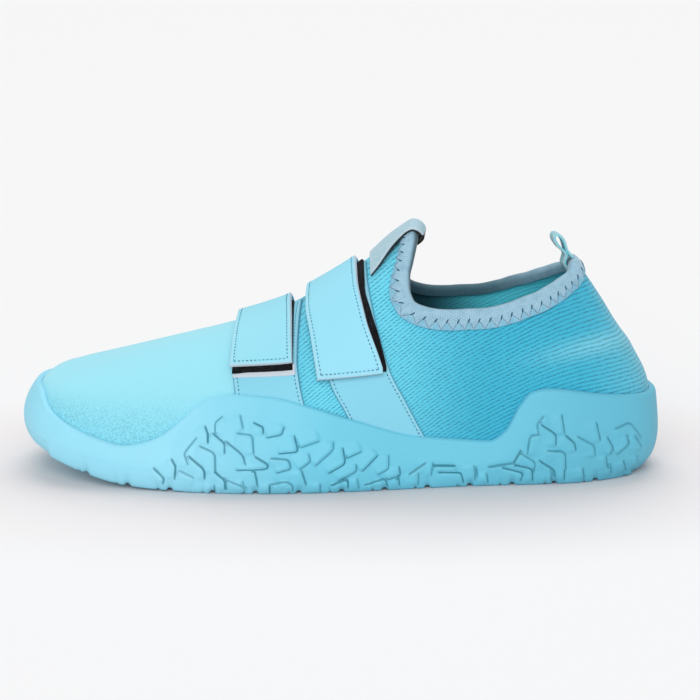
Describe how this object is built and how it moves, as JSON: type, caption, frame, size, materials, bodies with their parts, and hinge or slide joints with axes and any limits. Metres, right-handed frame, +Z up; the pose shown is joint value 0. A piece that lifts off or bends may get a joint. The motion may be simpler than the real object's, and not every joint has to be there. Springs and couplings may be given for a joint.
{
  "type": "training shoe",
  "caption": "Slip-on knit training shoe for the left foot, with a moulded rubber cup sole with side lugs, two closing straps, a folded collar tab and a heel pull loop.",
  "frame": {"origin": "on the floor under the middle of the shoe's box", "axes": "+X from toe to heel, +Y from the outer (lateral) side to the inner (medial) side, +Z up"},
  "size_m": [0.2775, 0.1051, 0.108],
  "materials": {
    "rubber": "matt moulded rubber",
    "foam": "soft foam footbed with a cloth face",
    "knit": "stretch knit",
    "ribbing": "ribbed stretch binding",
    "coated_strap": "smooth coated synthetic leather",
    "hook_tape": "hook and loop tape",
    "ribbon": "woven ribbon"
  },
  "bodies": {
    "root": {"sole": "rubber", "insole": "foam", "upper": "knit", "collar_binding": "ribbing", "strap_front_base": "coated_strap", "strap_front_tape": "hook_tape", "strap_front": "coated_strap", "strap_rear_base": "coated_strap", "strap_rear_tape": "hook_tape", "strap_rear": "coated_strap", "tongue_tab": "ribbon", "heel_loop": "ribbon"}
  },
  "joints": []
}
